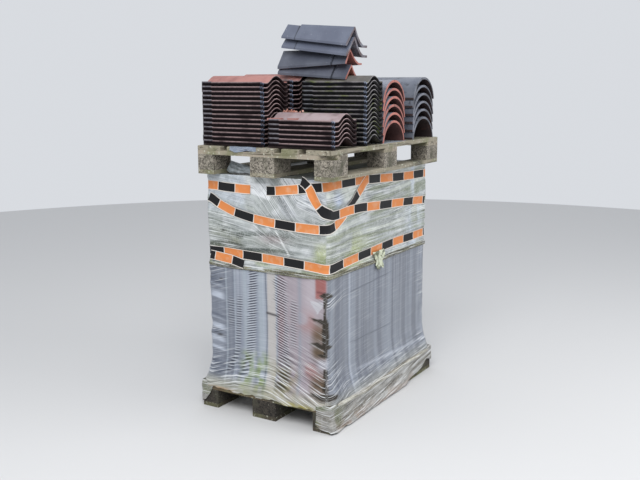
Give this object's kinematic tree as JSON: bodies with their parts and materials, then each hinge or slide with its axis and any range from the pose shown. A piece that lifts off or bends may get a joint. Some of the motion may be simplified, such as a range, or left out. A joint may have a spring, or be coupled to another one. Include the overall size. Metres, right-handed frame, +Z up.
{
  "type": "pallet of roof tiles",
  "caption": "Film-wrapped pallet of clay roof tiles with printed tape, and a second flat pallet of loose pan, ridge and half-round tiles on top.",
  "frame": {"origin": "on the floor under the middle of the lower pallet, on the underside of its middle bottom board", "axes": "+Z up, +X along the pallets' short side, +Y along their long side; the pictured front is -Y"},
  "size_m": [0.8373, 1.2328, 2.0275],
  "materials": {
    "pallet_wood": "weathered grey-green sawn softwood with moss",
    "pallet_block": "pressed chip, swollen and dirty",
    "load_tiles": "unglazed clay, anthracite and red-brown",
    "stretch_film": "milky stretched polyethylene film",
    "dirty_film": "wrinkled whitish film with green algae",
    "printed_tape": "orange and black blocks, no print",
    "brown_clay": "dark brown engobed clay",
    "grey_clay": "dark grey engobed clay with moss",
    "red_clay": "terracotta, grey engobe outside",
    "engobed_clay": "blue-grey engobed clay",
    "glazed_clay": "satin slate-blue glaze, terracotta underside"
  },
  "bodies": {
    "root": {"angular_ridge_tile_1": "glazed_clay", "angular_ridge_tile_2": "glazed_clay", "angular_ridge_tile_3": "glazed_clay", "angular_ridge_tile_4": "glazed_clay", "broken_tile_pieces": "brown_clay", "deck_film_sheet": "dirty_film", "film_flap_deck": "dirty_film", "film_flap_pocket": "dirty_film", "film_flap_right": "dirty_film", "film_hem_roll": "dirty_film", "film_rope": "stretch_film", "film_skirt_left": "stretch_film", "film_skirt_right": "stretch_film", "half_round_tiles_grey": "engobed_clay", "half_round_tiles_red": "red_clay", "lower_film": "stretch_film", "lower_pallet_blocks": "pallet_block", "lower_pallet_bottom_board_1": "pallet_wood", "lower_pallet_bottom_board_2": "pallet_wood", "lower_pallet_bottom_board_3": "pallet_wood", "lower_pallet_deck_board_1": "pallet_wood", "lower_pallet_deck_board_2": "pallet_wood", "lower_pallet_deck_board_3": "pallet_wood", "lower_pallet_deck_board_4": "pallet_wood", "lower_pallet_deck_board_5": "pallet_wood", "lower_pallet_stringer_1": "pallet_wood", "lower_pallet_stringer_2": "pallet_wood", "lower_pallet_stringer_3": "pallet_wood", "pan_tiles_behind": "grey_clay", "pan_tiles_front": "brown_clay", "pan_tiles_narrow": "grey_clay", "pan_tiles_short_stack": "brown_clay", "tape_bottom": "printed_tape", "tape_cross": "printed_tape", "tape_slack": "printed_tape", "tape_top": "printed_tape", "tile_layer_1": "load_tiles", "tile_layer_2": "load_tiles", "tile_layer_3": "load_tiles", "tile_layer_4": "load_tiles", "tile_layer_5": "load_tiles", "tile_layer_6": "load_tiles", "tile_layer_7": "load_tiles", "top_film": "dirty_film", "upper_film": "dirty_film", "upper_pallet_blocks": "pallet_block", "upper_pallet_bottom_board_1": "pallet_wood", "upper_pallet_bottom_board_2": "pallet_wood", "upper_pallet_bottom_board_3": "pallet_wood", "upper_pallet_deck_board_1": "pallet_wood", "upper_pallet_deck_board_2": "pallet_wood", "upper_pallet_deck_board_3": "pallet_wood", "upper_pallet_deck_board_4": "pallet_wood", "upper_pallet_deck_board_5": "pallet_wood", "upper_pallet_stringer_1": "pallet_wood", "upper_pallet_stringer_2": "pallet_wood", "upper_pallet_stringer_3": "pallet_wood"}
  },
  "joints": []
}
